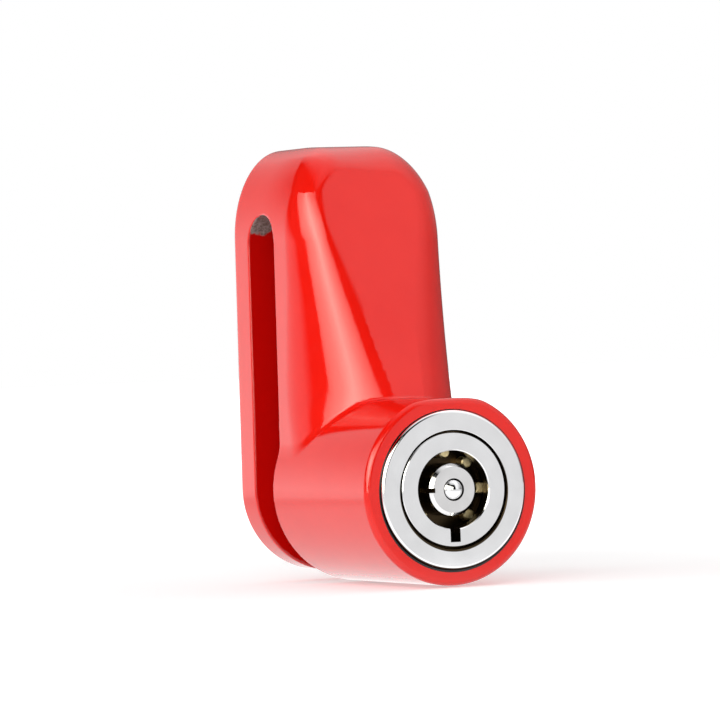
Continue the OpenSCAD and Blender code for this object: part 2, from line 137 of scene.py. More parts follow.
def rounded(corners, radii, steps=6):
    """Rows [radius, y] of a profile and their normals. Each inner corner of the line becomes an arc of its
    radius: it starts radius * tan(half the turn) before the corner and swings by the turn about its centre.
    The outside of the solid lies on the left of the line."""
    p = np.asarray(corners, float)
    r = np.broadcast_to(np.asarray(radii, float), (len(p) - 2,))[:, None]
    way = unit(np.diff(p, axis=0))
    left = np.stack([-way[:, 1], way[:, 0]], axis=1)
    a, b, out = way[:-1], way[1:], left[:-1]
    turn = np.arctan2(a[:, 0] * b[:, 1] - a[:, 1] * b[:, 0], (a * b).sum(1))[:, None]
    begin = p[1:-1] - a * r * np.tan(np.abs(turn) / 2)
    centre = begin + out * r * np.sign(turn)
    swing = turn * np.linspace(0, 1, steps)
    c, s = np.cos(swing)[..., None], np.sin(swing)[..., None]

    def turned_by(v):
        """Vectors at every share of their corner's turn."""
        return v[:, None] * c + np.stack([-v[:, 1], v[:, 0]], axis=1)[:, None] * s

    arcs = centre[:, None] + turned_by(begin - centre)
    rows = np.concatenate([p[:1], arcs.reshape(-1, 2), p[-1:]])
    normals = np.concatenate([left[:1], turned_by(out).reshape(-1, 2), left[-1:]])
    return rows, normals


def turned(rows, normals, around, centre=(0, 0, 0), axis=(0, 1, 0)):
    """A profile turned about an axis: centre + r * (cos * u + sin * v) + along * axis, with u and v square to
    the axis. About the bolt axis the angle starts at the top."""
    axis = np.asarray(axis, float)
    u = np.roll(axis, 1)
    ray = np.cos(around)[:, None] * u + np.sin(around)[:, None] * np.cross(axis, u)

    def spun(v):
        """Rows [r, along] at every angle."""
        return (v[:, None, :1] * ray + v[:, None, 1:] * axis).reshape(-1, 3)

    return spun(rows) + np.asarray(centre, float), spun(normals)


# %% [markdown]
# ## The casting's formula
#
# The casting is easiest to write as a signed distance: negative inside, zero on the paint, positive outside.
# Two legs with elliptical top corners, a leaning front whose corners grow wider downwards, a flat back, a
# round boss with a flat along its top, and the slot. Rounded intersections and unions join them, so every
# cast edge has its own radius, and the paint's thick look comes from those radii. A box model with bevels
# would be quicker, but its bevels keep one width, and here the width of a corner changes along the leg.

# %% Sizes of the casting, in mm
SLOT_W, SLOT_TOP, SLOT_EDGE = 8.0, 37.0, 0.28
Y_BACK, Y_FACE, BACK_EDGE = 9.3, -32.5, 1.25
LEG_R, CROWN_HALF, TOP = 11.35, 11.05, 46.0
CROWN_R, CROWN_RISE = 7.4, 12.0
CROWN_DROP, CROWN_REACH = 0.47, 7.7
FOOT_Y, FOOT_Z, TIP_Y, TIP_Z = -20.45, 4.0, -11.2, 41.6
BOSS_R, BOSS_FLAT, FLAT_EDGE, BOSS_EDGE = 12.5, 11.85, 0.6, 0.75
CREASE = 0.45
print("leg in front of the slot:", -FOOT_Y - SLOT_W / 2, "mm; behind it:", round(Y_BACK - SLOT_W / 2, 2), "mm")


# %% Rounded joins of two distances
def round_and(a, b, r):
    """What lies in both solids, its edge rounded: the length of what each distance passes -r by."""
    return np.minimum(np.maximum(a, b), -r) + np.hypot(np.maximum(a + r, 0), np.maximum(b + r, 0))


def oval_and(a, b, across, along):
    """What lies in both solids, its edge an oval that takes the width across from b's face and along from a's.
    With u and w the shares of these widths, the oval is hypot(u, w) = 1, divided by its slope."""
    u, w = np.maximum(a / across + 1, 0), np.maximum(b / along + 1, 0)
    length = np.maximum(np.hypot(u, w), 1e-9)
    slope = np.maximum(np.hypot(u / across, w / along) / length, 1e-9)
    return np.where((u > 0) & (w > 0), (length - 1) / slope, np.maximum(a, b))


def round_or(a, b, r):
    """What lies in either solid, the corner between them filled to radius r."""
    return np.maximum(np.minimum(a, b), r) - np.hypot(np.maximum(r - a, 0), np.maximum(r - b, 0))


# %% Outline of the legs
SIDE_BLEND = 2.5
FLANK_TOP, FLANK_SPAN, FLANK_GROWTH = 25.5, 14.0, [0.022, 0.035, 0.0]


def leftness(x):
    """1 on the left of the casting and 0 on its right, with a smooth change at the middle."""
    return 0.5 - 0.5 * np.tanh(x / SIDE_BLEND)


def outline(x, y, z):
    """Distance to the casting's front outline: straight legs, half-round below and ellipses at the top.
    With u and w the shares of a corner's width and rise, the ellipse is hypot(u, w) = 1, divided by its
    slope to give millimetres. The top falls towards the front with the square of y. Inside the legs the
    distance stops at the flank's depth, which grows on the left towards the foot."""
    top = TOP - CROWN_DROP * np.clip(-y / CROWN_REACH, 0, None) ** 2
    half = LEG_R + (CROWN_HALF - LEG_R) * np.clip(z / (TOP - CROWN_RISE), 0, None)
    u = np.maximum((np.abs(x) - half + CROWN_R) / CROWN_R, 1e-6)
    w = np.maximum((z - top + CROWN_RISE) / CROWN_RISE, 0)
    length = np.hypot(u, w)
    slope = np.hypot(u / CROWN_R, w / CROWN_RISE) / length
    flank = CROWN_R + np.polyval(FLANK_GROWTH, np.clip(FLANK_TOP - z, 0, FLANK_SPAN)) * leftness(x)
    legs = np.where(w > 0, (length - 1) / slope, np.maximum(np.abs(x) - half, -flank))
    return np.where(z < 0, np.hypot(x, z) - LEG_R, legs)


# %% Leaning front and its corners
CORNER_SPAN = 42.0
LEFT_CORNER, LEFT_MOST, LEFT_LEAST = [-0.0007, -0.31, 14.4], 12.0, 2.4
RIGHT_CORNER, RIGHT_LEAST = [-0.00403, -0.0516, 10.3], 3.4
TIP_FLARE, TIP_START = 0.03, 36.0
SIDE_REACH, SIDE_START, SIDE_SPAN = 0.6, 22.0, 14.0


def leaning_front(y, z):
    """Distance in front of the plane from the foot to the tip of the front leg."""
    lean = unit(np.array([TIP_Y - FOOT_Y, TIP_Z - FOOT_Z]))
    return (z - FOOT_Z) * lean[0] - (y - FOOT_Y) * lean[1]


def front_corner(x, z):
    """Widths of the corner between front and sides, on the front and on the sides, as parabolas of the
    height s above the foot. The left one is widest at the foot, where a hyperbola holds it under LEFT_MOST,
    is narrowest at the top, and lies further back on its side there."""
    s = np.clip(z - FOOT_Z, 0, CORNER_SPAN)
    left = np.polyval(LEFT_CORNER, s)
    left = np.maximum((left + LEFT_MOST - np.hypot(left - LEFT_MOST, 1)) / 2, LEFT_LEAST)
    right = np.maximum(np.polyval(RIGHT_CORNER, s), RIGHT_LEAST)
    width = right + (left - right) * leftness(x) + TIP_FLARE * np.maximum(s - TIP_START, 0) ** 2
    high = np.clip(s - SIDE_START, 0, SIDE_SPAN) / SIDE_SPAN
    return width, width * (1 + SIDE_REACH * leftness(x) * high ** 2)


# %% Boss, slot and the whole casting
def boss_round(x, z):
    """Distance to the boss's round wall with the flat along its top."""
    return round_and(np.hypot(x, z) - BOSS_R, z - BOSS_FLAT, FLAT_EDGE)


def slot_gap(y, z):
    """Distance to the slot: a straight gap with a half-round top."""
    r = SLOT_W / 2
    return np.hypot(y, np.maximum(z - SLOT_TOP + r, 0)) - r


def casting(p):
    """Signed distance of the painted casting without its bores, the boss running on to the front."""
    x, y, z = p[..., 0], p[..., 1], p[..., 2]
    legs = oval_and(outline(x, y, z), leaning_front(y, z), *front_corner(x, z))
    legs = round_and(legs, y - Y_BACK, BACK_EDGE)
    boss = np.maximum(boss_round(x, z), y)
    return round_and(round_or(legs, boss, CREASE), -slot_gap(y, z), SLOT_EDGE)


print("left corner's width at the foot, half-way up and at the tip:",
      np.round(front_corner(-LEG_R, np.array([FOOT_Z, TIP_Z / 2, TIP_Z]))[0], 1).tolist(), "mm")

# %% [markdown]
# ## A net over the formula
#
# A surface net turns the formula into a mesh: space is cut into cells, each cell that the surface crosses
# gives one point, and each crossed cell edge joins its four cells by a quad. The points are then pulled
# along the gradient onto the surface itself. The cells are small where edges are tight and long where the
# casting is straight, which keeps the count low.

# %% Slope of a formula, and the pull onto its surface
def slope_of(field, p, step=1e-3):
    """Gradient by central differences."""
    shift = np.eye(3) * step
    return np.stack([(field(p + d) - field(p - d)) / (2 * step) for d in shift], axis=-1)


def pull(field, p, rounds=4):
    """Newton steps onto the surface: p moves by -f * g / |g|^2."""
    for _ in range(rounds):
        g = slope_of(field, p)
        p = p - (field(p) / np.maximum((g * g).sum(-1), 1e-6))[:, None] * g
    return p


# %% The net, and how it is evened out
def surface_net(field, lines):
    """Points at the middles of the crossed cells, and a quad for each crossed edge, facing outwards."""
    inside = field(np.stack(np.meshgrid(*lines, indexing="ij"), axis=-1)) < 0
    corners = sum(
        inside[i:i - 1 or None, j:j - 1 or None, k:k - 1 or None].astype(np.int8)
        for i in (0, 1) for j in (0, 1) for k in (0, 1))
    crossed = (corners > 0) & (corners < 8)
    index = np.full(crossed.shape, -1)
    index[crossed] = np.arange(crossed.sum())
    middles = [(line[1:] + line[:-1]) / 2 for line in lines]
    points = np.stack(np.meshgrid(*middles, indexing="ij"), axis=-1)[crossed]
    quads = []
    for axis in range(3):
        order = np.roll(np.arange(3), -axis)
        solid, cell = inside.transpose(order), index.transpose(order)
        low, high = solid[:-1, 1:-1, 1:-1], solid[1:, 1:-1, 1:-1]
        quad = np.stack([cell[:, :-1, :-1], cell[:, 1:, :-1], cell[:, 1:, 1:], cell[:, :-1, 1:]], axis=-1)
        quads += [quad[low & ~high], quad[high & ~low][:, ::-1]]
    return points, np.concatenate(quads)


def relax(field, p, quads, rounds=3):
    """Evens out the net: each point goes halfway to its neighbours' mean and is pulled back."""
    a, b = quads.ravel(), np.roll(quads, -1, axis=1).ravel()
    count = np.bincount(a, minlength=len(p)) + np.bincount(b, minlength=len(p))
    for _ in range(rounds):
        mean = np.stack([
            np.bincount(a, p[b, k], len(p)) + np.bincount(b, p[a, k], len(p)) for k in range(3)], axis=1)
        p = pull(field, (p + mean / count[:, None]) / 2, 2)
    return p


# %% Cast the net
def steps(*marks):
    """Grid lines through the marks (place, spacing up to the next place)."""
    spans = [
        np.linspace(a, b, max(2, round((b - a) / h) + 1))[:-1] for (a, h), (b, _) in zip(marks, marks[1:])]
    return np.concatenate(spans + [[marks[-1][0]]])


Y_CUT = Y_FACE + 2.0
x_lines = steps((-13.0, 0.3), (-10.4, 0.4), (10.4, 0.3), (13.0, 0))
y_lines = steps(
    (Y_CUT, 0.9), (-21.5, 0.4), (-5.0, 0.2), (-3.8, 0.42), (3.8, 0.2), (5.0, 0.5), (7.8, 0.3), (9.6, 0))
z_lines = steps((-13.0, 0.38), (14.2, 0.6), (31.4, 0.36), (46.6, 0))
skin, skin_quads = surface_net(casting, (x_lines, y_lines, z_lines))
rim = skin[:, 1] < y_lines[1]
skin = relax(casting, pull(casting, skin), skin_quads)
skin[rim, 1] = Y_CUT
print("net:", len(skin), "points, off the formula by", np.abs(casting(skin)).max().round(4), "mm at most")

# %% [markdown]
# ## Mouths and bores
#
# The net is closed where the real casting has holes. Each mouth is opened by taking away the quads inside a
# circle and setting the edge points on that circle. A turned profile then runs from there into the bore, and
# a zip of triangles joins the two rings, whatever their counts.

# %% Open a mouth and zip two rings
EDGE_REACH = 2.0


def open_mouth(points, quads, centre, axis, radius, depth):
    """Takes away the quads that touch a circle about an axis and sets the edge that is left on the circle.
    Returns the quads that stay, the edge's indices in the order of their angle, and these angles."""
    u = np.roll(axis, 1)
    v = np.cross(axis, u)

    def polar(p):
        """Angle about the axis, distance from it and place along it."""
        d = p - centre
        return np.arctan2(d @ v, d @ u), np.hypot(d @ u, d @ v), d @ axis

    angle, far, along = polar(points)
    hit = (far < radius) & (np.abs(along) < depth)
    kept = quads[~hit[quads].any(axis=1)]
    edge = np.sort(np.stack([kept, np.roll(kept, -1, axis=1)], axis=-1).reshape(-1, 2), axis=1)
    edge, count = np.unique(edge, axis=0, return_counts=True)
    ring = np.unique(edge[count == 1])
    ring = ring[(far[ring] < radius + EDGE_REACH) & (np.abs(along[ring]) < depth)]
    ring = ring[np.argsort(angle[ring])]
    ray = np.cos(angle[ring])[:, None] * u + np.sin(angle[ring])[:, None] * v
    points[ring] += (radius - far[ring])[:, None] * ray
    return kept, ring, angle[ring]


def zip_rings(a, ring_a, b, ring_b):
    """Triangles between two rings, given their sorted angles: each step along one ring meets the last point
    that the other ring has passed."""
    next_a, next_b = np.roll(a, -1), np.roll(b, -1)
    meet_a = ring_b[np.searchsorted(b, next_a, "left") - 1]
    meet_b = ring_a[np.searchsorted(a, next_b, "right") - 1]
    return np.concatenate([
        np.stack([ring_a, meet_a, np.roll(ring_a, -1)], axis=1),
        np.stack([ring_b, np.roll(ring_b, -1), meet_b], axis=1)])


# %% Open the bolt's hole and socket
BORE_R, CHAMBER_R, BOLT_HOLE_R, SOCKET_R = 10.37, 8.6, 3.1, 3.3
Y_COLLAR_REAR, Y_WEB, Y_SOCKET = -22.4, -6.5, 7.3
MOUTH_EDGE, MOUTH_DEPTH = 0.5, 0.3
bolt_axis = np.array([0.0, 1.0, 0.0])
web_wall = np.array([0.0, -SLOT_W / 2, 0.0])
back_wall = np.array([0.0, SLOT_W / 2, 0.0])
skin_quads, web_ring, web_angle = open_mouth(
    skin, skin_quads, web_wall, bolt_axis, BOLT_HOLE_R + MOUTH_EDGE, MOUTH_DEPTH)
skin_quads, back_ring, back_angle = open_mouth(
    skin, skin_quads, back_wall, bolt_axis, SOCKET_R + MOUTH_EDGE, MOUTH_DEPTH)
front_ring = np.flatnonzero(rim)
front_angle = np.arctan2(skin[front_ring, 0], skin[front_ring, 2])
front_ring, front_angle = front_ring[np.argsort(front_angle)], np.sort(front_angle)
print("edge points: boss", len(front_ring), "bolt hole", len(web_ring), "bolt socket", len(back_ring))

# %% The boss's end
AROUND, ZIP_GAP, FACE_LIP = 256, 0.3, 0.1
around = -np.pi + 2 * np.pi * (np.arange(AROUND) + 0.5) / AROUND


def boss_ring(rounds=6):
    """Points of the boss's outline at each angle, found along the ray by Newton steps, and their normals."""
    ray = np.stack([np.sin(around), np.cos(around)], axis=1)
    r = np.full(AROUND, BOSS_R)
    for _ in range(rounds):
        r = r - boss_round(*(ray * r[:, None]).T)
    flat = ray * r[:, None]
    shift = np.eye(2) * 1e-3
    slope = np.stack([boss_round(*(flat + d).T) - boss_round(*(flat - d).T) for d in shift], axis=1)
    return flat, unit(slope)


outline_2d, outward_2d = boss_ring()


def carried(rows, base):
    """Rows [out, y] of a profile carried round the boss: base + out * outward normal, at the row's own y."""
    return np.stack([
        base[:, 0] + rows[:, :1] * outward_2d[:, 0], np.repeat(rows[:, 1:], AROUND, axis=1),
        base[:, 1] + rows[:, :1] * outward_2d[:, 1]], axis=-1).reshape(-1, 3)


end_rows, end_normals = rounded(
    [[0, Y_CUT - ZIP_GAP], [0, Y_FACE], [-BOSS_EDGE - FACE_LIP, Y_FACE]], [BOSS_EDGE], 10)
end_points = carried(end_rows, outline_2d)
end_spun = carried(end_normals, 0 * outline_2d)
print("rows of the boss's end:", len(end_rows))

# %% Cylinder bore, bolt hole, bolt socket and latch hole
LATCH_Y, LATCH_HOLE_R, LATCH_MOUTH_R, LATCH_AROUND = -8.95, 1.15, 1.4, 40
Z_UNDER, Z_CHAMBER = -12.43, -8.55
WALL_ROWS, WALL_HALF, WALL_END = 16, 1.8, 2.0
BORE_LIP, SOCKET_FLOOR_R = 0.3, 0.4
mouth_rows, mouth_normals = rounded([
    [BORE_R + BORE_LIP, Y_FACE], [BORE_R, Y_FACE], [BORE_R, Y_COLLAR_REAR], [CHAMBER_R, Y_COLLAR_REAR],
    [CHAMBER_R, LATCH_Y - WALL_END]], [0.12, 0.1, 0.1])
wall_y = np.linspace(LATCH_Y - WALL_HALF, LATCH_Y + WALL_HALF, WALL_ROWS)
wall_rows = np.stack([np.full(WALL_ROWS, CHAMBER_R), wall_y], axis=1)
web_rows, web_normals = rounded([
    [CHAMBER_R, LATCH_Y + WALL_END], [CHAMBER_R, Y_WEB], [BOLT_HOLE_R, Y_WEB], [BOLT_HOLE_R, -SLOT_W / 2],
    [BOLT_HOLE_R + MOUTH_EDGE, -SLOT_W / 2]], [0.2, 0.1, 0.3])
bore_rows = np.concatenate([mouth_rows, wall_rows, web_rows])
bore_normals = np.concatenate([mouth_normals, np.tile([-1.0, 0.0], (WALL_ROWS, 1)), web_normals])
bore_points, bore_spun = turned(bore_rows, bore_normals, around)
socket_rows, socket_normals = rounded([
    [SOCKET_R + MOUTH_EDGE, SLOT_W / 2], [SOCKET_R, SLOT_W / 2], [SOCKET_R, Y_SOCKET],
    [SOCKET_FLOOR_R, Y_SOCKET]], [0.3, 0.2])
socket_points, socket_spun = turned(socket_rows, socket_normals, around)
latch_around = -np.pi + 2 * np.pi * (np.arange(LATCH_AROUND) + 0.5) / LATCH_AROUND
latch_rows, latch_normals = rounded([
    [LATCH_MOUTH_R, Z_UNDER], [LATCH_HOLE_R, Z_UNDER], [LATCH_HOLE_R, Z_CHAMBER],
    [LATCH_MOUTH_R, Z_CHAMBER]], [0.15, 0.1])
latch_points, latch_spun = turned(
    latch_rows, latch_normals, latch_around, (0, LATCH_Y, 0), (0, 0, 1))
print("rows: bore", len(bore_rows), "socket", len(socket_rows), "latch hole", len(latch_rows))

# %% One painted body
LATCH_OPEN_R, UNDER_DEPTH, INNER_DEPTH = 1.5, 0.7, 0.6
under_wall, inner_wall = np.array([0, LATCH_Y, -12.4]), np.array([0, LATCH_Y, -8.5])
skin_normals = unit(slope_of(casting, skin))
blocks = [skin, end_points, bore_points, socket_points, latch_points, np.array([[0, Y_SOCKET, 0]])]
start = np.cumsum([0] + [len(block) for block in blocks])
body_points = np.concatenate(blocks)
body_normals = np.concatenate([
    skin_normals, end_spun, bore_spun, socket_spun, latch_spun, np.array([[0, -1.0, 0]])])
ring = np.arange(AROUND)
body_quads = np.concatenate([
    skin_quads, grid_faces(len(end_rows) + len(bore_rows), AROUND, start[1]),
    grid_faces(len(socket_rows), AROUND, start[3])])
latch_axis = np.array([0.0, 0.0, 1.0])
body_quads, under_ring, under_angle = open_mouth(
    body_points, body_quads, under_wall, latch_axis, LATCH_OPEN_R, UNDER_DEPTH)
body_quads, inner_ring, inner_angle = open_mouth(
    body_points, body_quads, inner_wall, latch_axis, LATCH_OPEN_R, INNER_DEPTH)
latch_first = start[4] + np.arange(LATCH_AROUND)
latch_last = start[5] - LATCH_AROUND + np.arange(LATCH_AROUND)
socket_end = start[4] - AROUND + ring
pole = np.full(AROUND, start[5])
body_faces = [
    body_quads,
    grid_faces(len(latch_rows), LATCH_AROUND, start[4]),
    zip_rings(front_angle, front_ring, around, start[1] + ring),
    zip_rings(around, start[3] - AROUND + ring, web_angle, web_ring),
    zip_rings(back_angle, back_ring, around, start[3] + ring),
    zip_rings(under_angle, under_ring, latch_around, latch_first),
    zip_rings(latch_around, latch_last, inner_angle, inner_ring),
    np.stack([socket_end, pole, np.roll(socket_end, -1)], axis=1)]
painted_body = make_piece("painted_body", body_points, body_faces, body_normals)
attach(painted_body, "housing")
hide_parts("body")

# %% [markdown]
# ## Springs
#
# A coil spring is drawn wire wound on a mandrel, with its end turns closed flat. It is a circle carried along
# a helix. The helix's height follows a curve that is flat at both ends, so the end turns lie close and the
# free turns between them share the length. The circle's frame is the outward ray and its cross product with
# the wire's direction.

# %% Wind a spring
CLOSED_TURN = 0.45


def wound(mean_r, wire_r, length, turns, sides=12, per_turn=48):
    """Wire of a spring along +y from y = 0, as points, normals and faces. At share s of the wire the angle is
    2 * pi * turns * s. The height is the wire's radius plus the free length times a rise, three parts even
    and one part smooth step, that leaves out CLOSED_TURN at each end. A point in its middle closes an end."""
    count = int(turns * per_turn) + 1
    s = np.linspace(0, 1, count)
    angle = 2 * np.pi * turns * s
    dead = CLOSED_TURN / turns
    t = np.clip((s - dead) / (1 - 2 * dead), 0, 1)
    height = wire_r + (length - 2 * wire_r) * (0.75 * t + 0.25 * t * t * (3 - 2 * t))
    ray = np.stack([np.sin(angle), np.zeros(count), np.cos(angle)], axis=1)
    path = mean_r * ray + np.stack([np.zeros(count), height, np.zeros(count)], axis=1)
    along = unit(np.gradient(path, axis=0))
    side = np.cross(along, ray)
    turn = 2 * np.pi * np.arange(sides) / sides
    normals = np.cos(turn)[None, :, None] * ray[:, None] + np.sin(turn)[None, :, None] * side[:, None]
    points = (path[:, None] + wire_r * normals).reshape(-1, 3)
    points = np.concatenate([points, path[[0, -1]]])
    normals = np.concatenate([normals.reshape(-1, 3), -along[:1], along[-1:]])
    first, last = np.arange(sides), (count - 1) * sides + np.arange(sides)
    caps = [
        np.stack([np.full(sides, count * sides), np.roll(first, -1), first], axis=1),
        np.stack([np.full(sides, count * sides + 1), last, np.roll(last, -1)], axis=1)]
    return points, normals, [grid_faces(count, sides)[:, ::-1]] + caps


def node_box(name):
    """Lowest and highest corner of a CAD node, in mm."""
    return np.array(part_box(name)) / MM


# %% The return spring lies between the core and the casting
low, high = node_box("return_spring")
wire, wire_normals, wire_faces = wound(mean_r=4.75, wire_r=0.45, length=high[1] - low[1], turns=4)
return_spring = make_piece("return_spring_wire", wire + [0, low[1], 0], wire_faces, wire_normals)
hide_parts("return_spring")
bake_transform(return_spring)

# %% The latch spring stands upright
low, high = node_box("latch_spring")
upright = np.array([[1, 0, 0], [0, 0, 1], [0, -1, 0]], float)
wire, wire_normals, wire_faces = wound(
    mean_r=0.6, wire_r=0.15, length=high[2] - low[2], turns=4, sides=8, per_turn=32)
seat = [0, (low[1] + high[1]) / 2, low[2]]
latch_spring = make_piece("latch_spring_wire", wire @ upright + seat, wire_faces, wire_normals @ upright)
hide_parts("latch_spring")
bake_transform(latch_spring)

# %% The pin springs lie behind their drivers
PIN_CIRCLE_R, PINS = 4.8, 7
low, high = node_box("pin_springs")
wire, wire_normals, wire_faces = wound(
    mean_r=0.575, wire_r=0.125, length=high[1] - low[1], turns=3, sides=8, per_turn=32)
pin_angle = np.pi / 4 * np.arange(-3, 4)
seats = np.stack([
    PIN_CIRCLE_R * np.sin(pin_angle), np.full(PINS, low[1]), PIN_CIRCLE_R * np.cos(pin_angle)], axis=1)
coils = (wire[None] + seats[:, None]).reshape(-1, 3)
shifts = np.arange(PINS)[:, None, None] * len(wire)
coil_faces = [(face[None] + shifts).reshape(-1, face.shape[1]) for face in wire_faces]
pin_springs = make_piece("pin_spring_wires", coils, coil_faces, np.tile(wire_normals, (PINS, 1)))
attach(pin_springs, "core")
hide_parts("pin_springs")

# %% [markdown]
# ## The collar
#
# The chrome collar is a turned ring pressed into the boss. Its front edges are broken by small radii that
# catch a bright line. A profile with rounded corners, turned about the bolt axis, gives exactly that. It
# starts and ends at one seam in the rear face, where the last row of quads meets the first.

# %% Turn the collar
COLLAR_R, COLLAR_BORE_R, COLLAR_EDGE, Y_COLLAR_FACE, SEAM_R = 10.35, 7.75, 0.4, -33.0, 8.6
collar_rows, collar_normals = rounded([
    [SEAM_R, Y_COLLAR_REAR], [COLLAR_R, Y_COLLAR_REAR], [COLLAR_R, Y_COLLAR_FACE],
    [COLLAR_BORE_R, Y_COLLAR_FACE], [COLLAR_BORE_R, Y_COLLAR_REAR], [SEAM_R, Y_COLLAR_REAR]],
    [0.2, COLLAR_EDGE, 0.08, 0.2])
collar_points, collar_spun = turned(collar_rows[:-1], collar_normals[:-1], around)
collar_faces = grid_faces(len(collar_rows), AROUND) % len(collar_points)
collar = make_piece("chrome_collar", collar_points, [collar_faces], collar_spun)
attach(collar, "housing")
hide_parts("collar")

# %% [markdown]
# ## Node helpers
#
# Finishes are shader nodes. One short helper places a node with its settings and wires values or sockets into
# it, and a few more build on it, so that each finish below reads as a recipe. Effects that several finishes
# share are node groups with named inputs and outputs, built once.

# %% Place nodes
def place_node(tree, kind, wires=None, **settings):
    """A node with its settings. wires maps an input to a value, or to the socket that feeds it."""
    node = tree.nodes.new(kind)
    for key, value in settings.items():
        setattr(node, key, value)
    for key, value in (wires or {}).items():
        if isinstance(value, bpy.types.NodeSocket):
            tree.links.new(value, node.inputs[key])
        else:
            node.inputs[key].default_value = value
    return node


def calc(tree, operation, a, b=0.0):
    """One Math node's result."""
    return place_node(tree, "ShaderNodeMath", {0: a, 1: b}, operation=operation).outputs[0]


def spot_of(tree):
    """Where the shaded place lies in the frame, in metres."""
    return place_node(tree, "ShaderNodeTexCoord").outputs["Object"]


def between(tree, value, low, high, out_low=0.0, out_high=1.0):
    """A value mapped from low and high to out_low and out_high by a smooth step."""
    return place_node(tree, "ShaderNodeMapRange", {
        "Value": value, "From Min": low, "From Max": high, "To Min": out_low, "To Max": out_high},
        interpolation_type="SMOOTHSTEP").outputs["Result"]


def length_of(tree, vector):
    """A vector's length."""
    return place_node(tree, "ShaderNodeVectorMath", {0: vector}, operation="LENGTH").outputs["Value"]


# %% Build groups
def effect(name, inputs, outputs, recipe):
    """A node group with float inputs {name: default} and the named float outputs that recipe returns."""
    tree = bpy.data.node_groups.new(name, "ShaderNodeTree")
    for label, value in inputs.items():
        tree.interface.new_socket(label, in_out="INPUT", socket_type="NodeSocketFloat").default_value = value
    for label in outputs:
        tree.interface.new_socket(label, in_out="OUTPUT", socket_type="NodeSocketFloat")
    made = recipe(tree, tree.nodes.new("NodeGroupInput").outputs)
    leave = tree.nodes.new("NodeGroupOutput")
    for label, socket in made.items():
        tree.links.new(socket, leave.inputs[label])
    print("effect", name, "gives", ", ".join(outputs))
    return tree


def use(tree, group, **values):
    """The outputs of a group placed in a material with its own values."""
    return place_node(tree, "ShaderNodeGroup", values, node_tree=group).outputs


# %% [markdown]
# ## Shared effects
#
# Three things return on the real surfaces here, and a fourth is painted shade. Clouds: the finish is never
# equally smooth all over. Turning marks: fine rings left by the lathe about the bolt axis. Specks: dust and
# pits, a few tenths of a millimetre wide, which only some places have. Gap shade: painted shade, a darker
# colour in the gaps between the rings of the cylinder and in deep recesses, where shade falls.

# %% Clouds and turning marks
def cloud_recipe(tree, given):
    """Noise with features of Size mm, spread from Low to High."""
    spot = spot_of(tree)
    scale = calc(tree, "DIVIDE", 1 / MM, given["Size"])
    noise = place_node(tree, "ShaderNodeTexNoise", {"Vector": spot, "Scale": scale, "Detail": 3.0})
    level = place_node(tree, "ShaderNodeMapRange", {
        "Value": noise.outputs[0], "From Min": 0.3, "From Max": 0.7, "To Min": given["Low"],
        "To Max": given["High"]})
    return {"Value": level.outputs["Result"]}


def ring_recipe(tree, given):
    """Noise of the radius from the bolt axis plus the depth y, in units of Spacing mm, the same all round."""
    spot = spot_of(tree)
    flat = place_node(tree, "ShaderNodeVectorMath", {0: spot, 1: (1, 0, 1)}, operation="MULTIPLY")
    radius = length_of(tree, flat.outputs[0])
    depth = place_node(tree, "ShaderNodeSeparateXYZ", {0: spot}).outputs["Y"]
    turns = calc(tree, "MULTIPLY", calc(tree, "ADD", radius, depth), 1 / MM)
    turns = calc(tree, "DIVIDE", turns, given["Spacing"])
    noise = place_node(
        tree, "ShaderNodeTexNoise", {"W": turns, "Scale": 1.0, "Detail": 2.0}, noise_dimensions="1D")
    return {"Height": noise.outputs[0]}


clouds = effect("clouds", {"Size": 4.0, "Low": 0.1, "High": 0.2}, ["Value"], cloud_recipe)
turning_marks = effect("turning_marks", {"Spacing": 0.08}, ["Height"], ring_recipe)


# %% Specks and painted gap shade
SOFT_DEPTH, SOFT_EDGE = 0.12, 0.04


def speck_recipe(tree, given):
    """Round specks of Radius mm in cells of Pitch mm, in the share of cells whose random tone is low enough."""
    spot = spot_of(tree)
    scale = calc(tree, "DIVIDE", 1 / MM, given["Pitch"])
    cells = place_node(tree, "ShaderNodeTexVoronoi", {"Vector": spot, "Scale": scale})
    far = calc(tree, "MULTIPLY", cells.outputs["Distance"], given["Pitch"])
    tone = place_node(tree, "ShaderNodeSeparateColor", {0: cells.outputs["Color"]}).outputs[0]
    size = calc(tree, "MULTIPLY", given["Radius"], calc(tree, "DIVIDE", tone, given["Share"]))
    chosen = calc(tree, "LESS_THAN", tone, given["Share"])
    return {"Mask": calc(tree, "MULTIPLY", chosen, calc(tree, "LESS_THAN", far, size))}


def gap_shade_recipe(tree, given):
    """Mask of painted shade in gaps and recesses: 1 where a place lies from Depth to Reach mm behind the plane
    y = Face mm, and nearer to the bolt axis than Inner mm or further from it than Outer mm. Shift raises the
    centre of these circles, in mm, so the painted shade lies thicker on one side."""
    spot = spot_of(tree)
    spot = place_node(tree, "ShaderNodeVectorMath", {0: spot, 3: 1 / MM}, operation="SCALE").outputs[0]
    x, y, z = place_node(tree, "ShaderNodeSeparateXYZ", {0: spot}).outputs
    flat = place_node(tree, "ShaderNodeCombineXYZ", {"X": x, "Z": calc(tree, "SUBTRACT", z, given["Shift"])})
    radius = length_of(tree, flat.outputs[0])
    behind = calc(tree, "SUBTRACT", y, given["Face"])
    deep = between(tree, calc(tree, "SUBTRACT", behind, given["Depth"]), 0.0, SOFT_DEPTH)
    deep = calc(tree, "MULTIPLY", deep, calc(tree, "LESS_THAN", behind, given["Reach"]))
    within = between(tree, calc(tree, "SUBTRACT", given["Inner"], radius), -SOFT_EDGE, SOFT_EDGE)
    beyond = between(tree, calc(tree, "SUBTRACT", radius, given["Outer"]), -SOFT_EDGE, SOFT_EDGE)
    return {"Mask": calc(tree, "MULTIPLY", deep, calc(tree, "MAXIMUM", within, beyond))}


